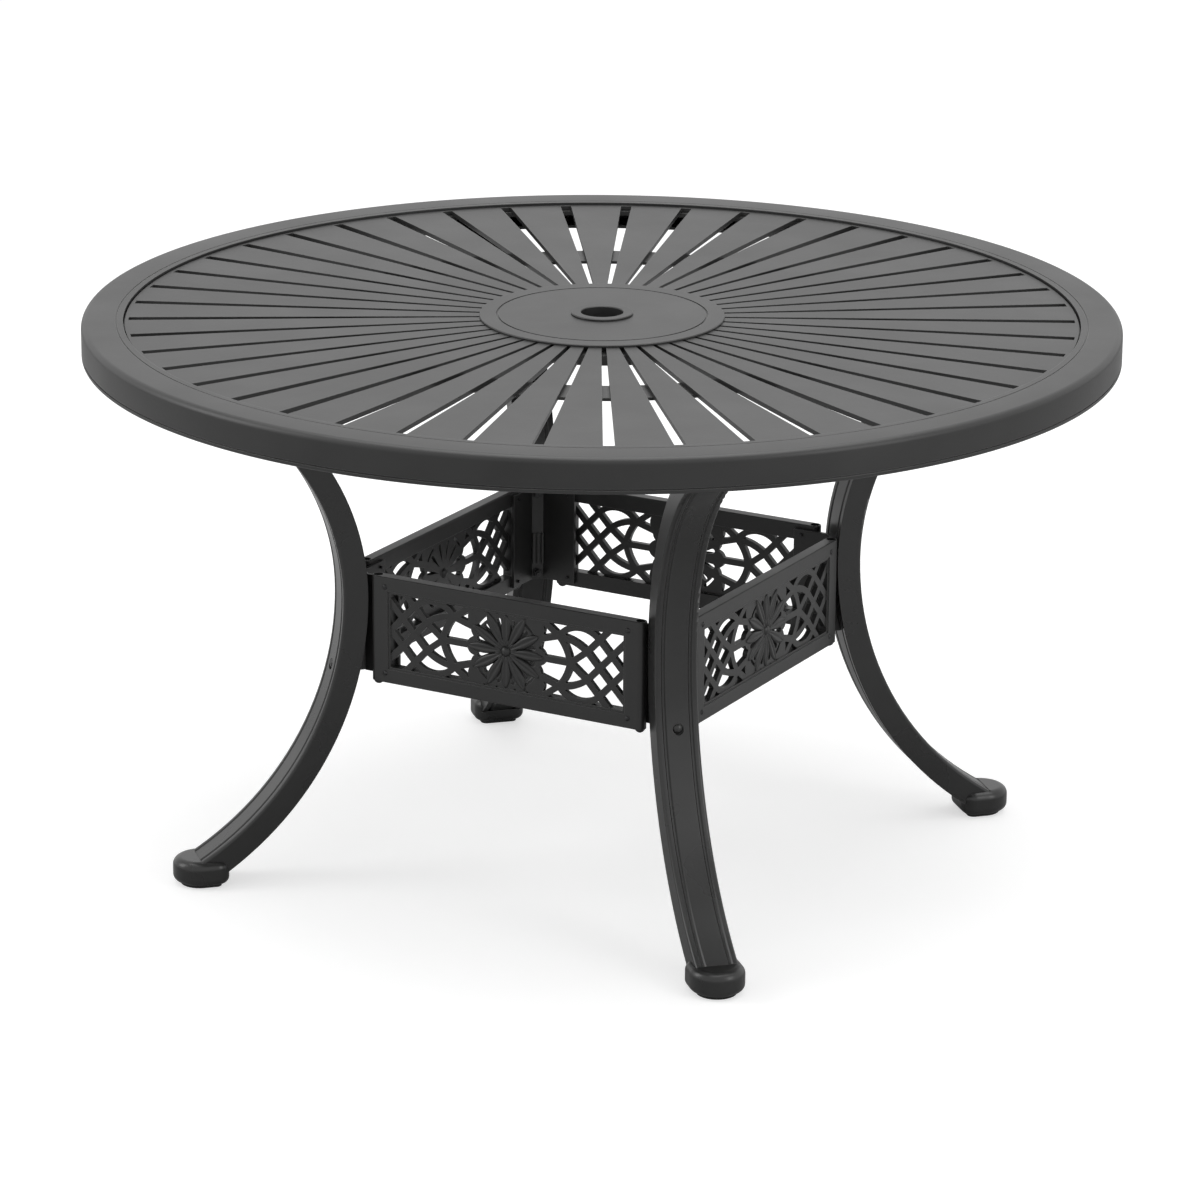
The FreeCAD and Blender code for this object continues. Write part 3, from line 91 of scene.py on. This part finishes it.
# Relief of a petal or stamen: the grid of its skin, and its widths and heights as shares of the largest.
# Its sides sink a little into the fretwork, and its flat back lies deeper.
RELIEF_STEPS = 16
RELIEF_COLUMNS = 12
END_WIDTH = 0.16
OUTLINE_SHIFT = 1.25
OUTLINE_POWER = 0.8
END_HEIGHT = 0.35
RIDGE_START = 0.12
RIDGE_SPAN = 0.80
SIDE_POWER = 4
CREASE_WIDTH = 0.28
RELIEF_SINK = 0.0006
RELIEF_BACK = 0.002

# Colours as linear values
COAT = (0.013, 0.013, 0.0128, 1)
COAT_LIGHT = (0.019, 0.019, 0.0187, 1)
# Lighter coat that is painted on edges as a painted highlight
COAT_EDGE_HIGHLIGHT = (0.100, 0.100, 0.098, 1)
STEEL_DARK = (0.055, 0.055, 0.057, 1)
PLASTIC = (0.012, 0.012, 0.012, 1)
FLOOR = (0.60, 0.60, 0.60, 1)
WHITE = (1, 1, 1, 1)

# Range that most values of a noise lie in
NOISE_LOW = 0.3
NOISE_HIGH = 0.7

# Powder coat: each grade is a roughness and the radius by which its edges look rounded.
# A noise is a scale and a detail, and a bump is a strength and a height.
COAT_GRADES = {
    "top_coat": (0.40, 0.0010),
    "leg_coat": (0.28, 0.0009),
    "panel_coat": (0.36, 0.0010),
    "ring_coat": (0.42, 0.0006),
}
SMOOTHER = 0.03
ROUGHER = 0.04
CLOUD_NOISE = (9, 4)
PEEL_NOISE = (260, 2)
PEEL_BUMP = (0.10, 0.0006)
GRAIN_NOISE = (1500, 2)
GRAIN_BUMP = (0.08, 0.0002)

# Edges, where a lighter coat is painted as a painted highlight: a rounded normal that agrees with the face's
# own by less than the first counts as all edge, and by more than the second as flat
ALL_EDGE = 0.90
ALL_FLAT = 0.97
BEVEL_SAMPLES = 6

# Dark steel and plastic
STEEL_NOISE = (400, 3)
STEEL_BUMP = (0.1, 0.0003)
STEEL_METALLIC = 0.6
STEEL_ROUGHNESS = (0.32, 0.46)
STEEL_EDGE = 0.0005
PLASTIC_NOISE = (900, 2)
PLASTIC_BUMP = (0.15, 0.0003)
PLASTIC_ROUGHNESS = (0.55, 0.68)

# Floor and surroundings: what the camera sees, and what they give as light
FLOOR_SIZE = 40
FLOOR_ROUGHNESS = 0.9
FLOOR_SPECULAR = 0.1
FLOOR_GLOW = 0.58
WORLD_LIGHT = 0.6
WORLD_SEEN = 1

# Lamps: name, place, point they are turned to, width and height, and watts
LAMPS = (
    ("overhead", (0.1, 0.2, 4.2), (0, 0, 0.5), (4.0, 4.0), 122),
    ("from_left", (-3.6, -2.2, 2.6), (0, 0, 0.6), (2.0, 2.6), 45),
    ("from_right", (4.4, -0.6, 2.2), (0, 0, 0.5), (1.6, 2.6), 35),
)


def new_object(name, data):
    """An object in the scene."""
    item = bpy.data.objects.new(name, data)
    bpy.context.scene.collection.objects.link(item)
    return item


def new_mesh(name, points, faces, finish):
    """A smoothly shaded mesh of one material."""
    mesh = bpy.data.meshes.new(name)
    mesh.from_pydata(points, [], faces)
    mesh.materials.append(finish)
    mesh.shade_smooth()
    return mesh


def set_camera():
    """Camera on the photograph's side of the table, tilted down to it."""
    data = bpy.data.cameras.new("camera")
    data.lens = CAMERA_LENS
    data.sensor_width = CAMERA_SENSOR
    data.clip_end = CAMERA_CLIP_END
    camera = new_object("camera", data)
    turn = Matrix.Rotation(CAMERA_TURN, 4, "Z")
    tilt = Matrix.Rotation(math.pi / 2 - CAMERA_TILT, 4, "X")
    roll = Matrix.Rotation(CAMERA_ROLL, 4, "Z")
    place = Matrix.Translation((CAMERA_DISTANCE * math.sin(CAMERA_TURN),
                                -CAMERA_DISTANCE * math.cos(CAMERA_TURN), CAMERA_HEIGHT))
    camera.matrix_world = place @ turn @ tilt @ roll
    bpy.context.scene.camera = camera


def new_material(name):
    """A material whose node tree holds only a shader and the output."""
    material = bpy.data.materials.new(name)
    material.use_nodes = True
    tree = material.node_tree
    tree.nodes.clear()
    shader = tree.nodes.new("ShaderNodeBsdfPrincipled")
    output = tree.nodes.new("ShaderNodeOutputMaterial")
    tree.links.new(shader.outputs["BSDF"], output.inputs["Surface"])
    return material, tree, shader


def object_coords(tree):
    """Coordinates that stay with the object."""
    node = tree.nodes.new("ShaderNodeTexCoord")
    return node.outputs["Object"]


def noise(tree, coords, kind):
    """Values of a noise, whose kind is its scale and detail."""
    scale, detail = kind
    node = tree.nodes.new("ShaderNodeTexNoise")
    node.inputs["Scale"].default_value = scale
    node.inputs["Detail"].default_value = detail
    tree.links.new(coords, node.inputs["Vector"])
    return node.outputs["Fac"]


def ramp(tree, value, low, high, from_low=NOISE_LOW, from_high=NOISE_HIGH):
    """Map a value, by default one of a noise, to a range of numbers."""
    node = tree.nodes.new("ShaderNodeMapRange")
    node.inputs["From Min"].default_value = from_low
    node.inputs["From Max"].default_value = from_high
    node.inputs["To Min"].default_value = low
    node.inputs["To Max"].default_value = high
    tree.links.new(value, node.inputs["Value"])
    return node.outputs["Result"]


def blend(tree, factor, first, second):
    """Mix two colours, each a plain one or another node's, by a factor."""
    node = tree.nodes.new("ShaderNodeMix")
    node.data_type = "RGBA"
    for socket, colour in ((node.inputs["A"], first), (node.inputs["B"], second)):
        if isinstance(colour, tuple):
            socket.default_value = colour
        else:
            tree.links.new(colour, socket)
    tree.links.new(factor, node.inputs["Factor"])
    return node.outputs["Result"]


def bump(tree, value, kind, normal=None):
    """Bumps from a noise's values on top of a normal. Their kind is their strength and height."""
    strength, height = kind
    node = tree.nodes.new("ShaderNodeBump")
    node.inputs["Strength"].default_value = strength
    node.inputs["Distance"].default_value = height
    tree.links.new(value, node.inputs["Height"])
    if normal:
        tree.links.new(normal, node.inputs["Normal"])
    return node.outputs["Normal"]


def soft_edges(tree, radius):
    """Normal that rounds sharp edges a little, as a coat of powder does."""
    node = tree.nodes.new("ShaderNodeBevel")
    node.samples = BEVEL_SAMPLES
    node.inputs["Radius"].default_value = radius
    return node.outputs["Normal"]


def edge_highlight_share(tree, rounded):
    """0 on flat faces and 1 on edges, from how far the rounded normal leans from the face's own."""
    geometry = tree.nodes.new("ShaderNodeNewGeometry")
    lean = tree.nodes.new("ShaderNodeVectorMath")
    lean.operation = "DOT_PRODUCT"
    tree.links.new(geometry.outputs["Normal"], lean.inputs[0])
    tree.links.new(rounded, lean.inputs[1])
    return ramp(tree, lean.outputs["Value"], 1, 0, ALL_EDGE, ALL_FLAT)


def powder_coat(name, roughness, edge):
    """Satin powder coat: slight mottling, orange peel and fine grain, rounded on edges, with a painted
    highlight that makes edges lighter.
    """
    material, tree, shader = new_material(name)
    coords = object_coords(tree)
    cloud = noise(tree, coords, CLOUD_NOISE)
    peel = noise(tree, coords, PEEL_NOISE)
    grain = noise(tree, coords, GRAIN_NOISE)
    normal = soft_edges(tree, edge)
    coat = blend(tree, ramp(tree, cloud, 0, 1), COAT, COAT_LIGHT)
    # Edges are painted lighter: a painted highlight, not wear
    colour = blend(tree, edge_highlight_share(tree, normal), coat, COAT_EDGE_HIGHLIGHT)
    tree.links.new(colour, shader.inputs["Base Color"])
    gloss = ramp(tree, cloud, roughness - SMOOTHER, roughness + ROUGHER)
    tree.links.new(gloss, shader.inputs["Roughness"])
    normal = bump(tree, peel, PEEL_BUMP, normal)
    normal = bump(tree, grain, GRAIN_BUMP, normal)
    tree.links.new(normal, shader.inputs["Normal"])
    return material


def dark_steel(name):
    """Blackened steel of bolts and screws, a little brighter where it is rubbed."""
    material, tree, shader = new_material(name)
    rub = noise(tree, object_coords(tree), STEEL_NOISE)
    colour = blend(tree, ramp(tree, rub, 0, 1), COAT, STEEL_DARK)
    normal = bump(tree, rub, STEEL_BUMP, soft_edges(tree, STEEL_EDGE))
    shader.inputs["Metallic"].default_value = STEEL_METALLIC
    tree.links.new(colour, shader.inputs["Base Color"])
    tree.links.new(ramp(tree, rub, *STEEL_ROUGHNESS), shader.inputs["Roughness"])
    tree.links.new(normal, shader.inputs["Normal"])
    return material


def moulded_plastic(name):
    """Matt moulded plastic of the glides."""
    material, tree, shader = new_material(name)
    spots = noise(tree, object_coords(tree), PLASTIC_NOISE)
    colour = blend(tree, ramp(tree, spots, 0, 1), PLASTIC, COAT)
    tree.links.new(colour, shader.inputs["Base Color"])
    tree.links.new(ramp(tree, spots, *PLASTIC_ROUGHNESS), shader.inputs["Roughness"])
    tree.links.new(bump(tree, spots, PLASTIC_BUMP), shader.inputs["Normal"])
    return material


def arc(centre, radius, start, end, steps):
    """Points of an arc in a section, with angles in degrees from straight outward."""
    points = []
    for step in range(steps + 1):
        angle = math.radians(start + (end - start) * step / steps)
        points.append((centre[0] + radius * math.cos(angle), centre[1] + radius * math.sin(angle)))
    return points


def rim_section():
    """Section of the rim as distances from the axis and heights, round from the ledge's edge."""
    lowest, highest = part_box("rim")
    outer = highest[0]
    top = highest[2]
    bottom = lowest[2]
    inner = outer - RIM_FACE
    skirt = outer - RIM_WALL
    line = inner + RIM_LINE_INSET
    lip = bottom + RIM_LIP_RISE
    ledge = top - RIM_LEDGE_TOP
    bead = BEAD_HEIGHT / 2
    groove_low = bottom + BEAD_HEIGHT
    groove_high = groove_low + BEAD_GROOVE
    points = [(inner - RIM_LEDGE, ledge), (inner, ledge), (inner, top)]
    points += [(line, top), (line, top - RIM_LINE_DEPTH)]
    points += [(line + RIM_LINE_WIDTH, top - RIM_LINE_DEPTH), (line + RIM_LINE_WIDTH, top)]
    points += arc((outer - RIM_SHOULDER, top - RIM_SHOULDER), RIM_SHOULDER, 90, 0, SHOULDER_STEPS)
    points += [(outer, groove_high), (outer - BEAD_GROOVE, groove_high)]
    points += [(outer - BEAD_GROOVE, groove_low), (outer, groove_low)]
    points += arc((outer - bead, bottom + bead), bead, 0, -90, BEAD_STEPS)
    points += [(skirt, bottom), (skirt, lip), (outer - RIM_LIP, lip)]
    points += [(outer - RIM_LIP, lip + RIM_LIP_WALL), (skirt, lip + RIM_LIP_WALL)]
    points += [(skirt, top - RIM_WALL), (inner + RIM_WALL, top - RIM_WALL)]
    points += [(inner + RIM_WALL, ledge - RIM_WALL), (inner - RIM_LEDGE, ledge - RIM_WALL)]
    return points


def make_rim(finish):
    """Rim turned from its section in one smooth ring."""
    section = rim_section()
    count = len(section)
    points = []
    faces = []
    for k in range(RIM_SEGMENTS):
        turn = 2 * math.pi * k / RIM_SEGMENTS
        points += [(far * math.cos(turn), far * math.sin(turn), height) for far, height in section]
        here = k * count
        beyond = (k + 1) % RIM_SEGMENTS * count
        for spot in range(count):
            following = (spot + 1) % count
            faces.append((here + spot, here + following, beyond + following, beyond + spot))
    mesh = new_mesh("rim_ring", points, faces, finish)
    mesh.set_sharp_from_angle(angle=RIM_SHARP_ANGLE)
    ring = new_object("rim_ring", mesh)
    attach(ring, "table")
    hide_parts("rim")


def relief_skin(turn, reach, shape):
    """Points of a petal's ridged front, row by row from the flower's heart outward along a ray."""
    width, height, crease = shape
    ray = Vector((math.cos(turn), math.sin(turn)))
    side = Vector((-ray.y, ray.x))
    points = []
    for step in range(RELIEF_STEPS + 1):
        along = step / RELIEF_STEPS
        far = PETAL_START + (reach - PETAL_START) * along
        bulge = math.sin(math.pi * along ** OUTLINE_SHIFT) ** OUTLINE_POWER
        half = width / 2 * (END_WIDTH + (1 - END_WIDTH) * bulge)
        arch = math.sin(math.pi * (RIDGE_START + RIDGE_SPAN * along))
        crest = height * (END_HEIGHT + (1 - END_HEIGHT) * arch)
        for column in range(RELIEF_COLUMNS + 1):
            across = 2 * column / RELIEF_COLUMNS - 1
            fall = across ** SIDE_POWER
            dip = crease * math.exp(-(across / CREASE_WIDTH) ** 2)
            rise = (1 - fall) * (1 - dip)
            spot = ray * far + side * half * across
            points.append((spot.x, -crest * rise + RELIEF_SINK * fall, spot.y))
    return points


def relief_faces():
    """Faces of a petal's front."""
    row = RELIEF_COLUMNS + 1
    faces = []
    for step in range(RELIEF_STEPS):
        for column in range(RELIEF_COLUMNS):
            first = step * row + column
            faces.append((first, first + 1, first + row + 1, first + row))
    return faces


def relief_border():
    """Points on the border of a petal's front, in order round it."""
    row = RELIEF_COLUMNS + 1
    last = RELIEF_STEPS * row
    border = list(range(RELIEF_COLUMNS))
    border += [k * row + RELIEF_COLUMNS for k in range(RELIEF_STEPS)]
    border += [last + k for k in range(RELIEF_COLUMNS, 0, -1)]
    border += [k * row for k in range(RELIEF_STEPS, 0, -1)]
    return border


def relief(name, turn, reach, shape, finish):
    """Closed raised petal or stamen, in the plane of a panel's fretwork."""
    points = relief_skin(turn, reach, shape)
    faces = relief_faces()
    border = relief_border()
    back = len(points)
    count = len(border)
    points += [(points[k][0], RELIEF_BACK, points[k][2]) for k in border]
    for k in range(count):
        following = (k + 1) % count
        faces.append((border[following], border[k], back + k, back + following))
    faces.append(tuple(back + k for k in range(count)))
    return new_mesh(name, points, faces, finish)


def place_on_panel(mesh, name, panel):
    """Put a relief on the front of a panel's fretwork and let it ride on the table."""
    piece = new_object(name, mesh)
    piece.matrix_world = panel
    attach(piece, "table")


def fretwork_face(node):
    """Frame whose XZ plane is the front of a panel's fretwork, with -Y pointing out of it."""
    turned = Matrix.Rotation(math.radians(PANEL_TURNS[node]), 4, "Z")
    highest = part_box("panel_front")[1]
    outward = -highest[1] + PANEL_DEPTH - FRET_SINK
    return turned @ Matrix.Translation((0, -outward, PANEL_MIDDLE_HEIGHT))


def petal_reach(turn):
    """How far a petal reaches, which is less where it points up or down."""
    rise = abs(math.sin(turn))
    if rise * PETAL_REACH <= PETAL_REACH_UP:
        return PETAL_REACH
    return PETAL_REACH_UP / rise


def make_flowers(finish):
    """Ridged petals round the heart of each panel, with a short stamen between each two."""
    petals = []
    stamens = []
    for k in range(PETALS):
        turn = 2 * math.pi * k / PETALS
        between = turn + math.pi / PETALS
        petals.append(relief("petal_%d" % k, turn, petal_reach(turn), PETAL_SHAPE, finish))
        stamens.append(relief("stamen_%d" % k, between, STAMEN_REACH, STAMEN_SHAPE, finish))
    for node in PANEL_TURNS:
        face = fretwork_face(node)
        for mesh in petals + stamens:
            place_on_panel(mesh, "%s_%s" % (node, mesh.name), face)


def dress_nodes():
    """Give every CAD node the finish of its material slot, and return the finishes by slot."""
    finishes = {name: powder_coat(name + "_finish", *grade) for name, grade in COAT_GRADES.items()}
    finishes["hardware"] = dark_steel("hardware_finish")
    finishes["glide_plastic"] = moulded_plastic("glide_plastic_finish")
    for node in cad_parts.values():
        for slot in node.material_slots:
            slot.material = finishes[slot.material.name]
    return finishes


def seen_ray(tree, kinds):
    """1 for camera rays and the kinds named, and 0 for rays that carry light."""
    path = tree.nodes.new("ShaderNodeLightPath")
    total = path.outputs["Is Camera Ray"]
    for kind in kinds:
        join = tree.nodes.new("ShaderNodeMath")
        join.operation = "MAXIMUM"
        tree.links.new(total, join.inputs[0])
        tree.links.new(path.outputs[kind], join.inputs[1])
        total = join.outputs[0]
    return total


def set_floor():
    """Pale floor that is seen as white, with the table's shadow on it."""
    bpy.ops.mesh.primitive_plane_add(size=FLOOR_SIZE)
    floor = bpy.context.object
    floor.name = "floor"
    material, tree, shader = new_material("floor_finish")
    seen = seen_ray(tree, ["Is Transmission Ray"])
    shader.inputs["Base Color"].default_value = FLOOR
    shader.inputs["Roughness"].default_value = FLOOR_ROUGHNESS
    shader.inputs["Specular IOR Level"].default_value = FLOOR_SPECULAR
    shader.inputs["Emission Color"].default_value = WHITE
    tree.links.new(ramp(tree, seen, 0, FLOOR_GLOW, 0, 1), shader.inputs["Emission Strength"])
    floor.data.materials.append(material)


def set_world():
    """Even white surroundings, seen as white and lighting the table softly."""
    world = bpy.data.worlds.new("surroundings")
    bpy.context.scene.world = world
    world.use_nodes = True
    tree = world.node_tree
    tree.nodes.clear()
    background = tree.nodes.new("ShaderNodeBackground")
    output = tree.nodes.new("ShaderNodeOutputWorld")
    background.inputs["Color"].default_value = WHITE
    seen = seen_ray(tree, ["Is Glossy Ray", "Is Transmission Ray"])
    tree.links.new(ramp(tree, seen, WORLD_LIGHT, WORLD_SEEN, 0, 1), background.inputs["Strength"])
    tree.links.new(background.outputs["Background"], output.inputs["Surface"])


def soft_box(name, place, aim, size, power):
    """Large area light turned towards a point."""
    data = bpy.data.lights.new(name, "AREA")
    data.shape = "RECTANGLE"
    data.size, data.size_y = size
    data.energy = power
    lamp = new_object(name, data)
    lamp.location = place
    way = Vector(aim) - lamp.location
    lamp.rotation_euler = way.to_track_quat("-Z", "Y").to_euler()


bpy.context.scene.view_settings.view_transform = "Standard"
set_camera()
set_world()
for lamp in LAMPS:
    soft_box(*lamp)
set_floor()
finishes = dress_nodes()
make_rim(finishes["top_coat"])
make_flowers(finishes["panel_coat"])
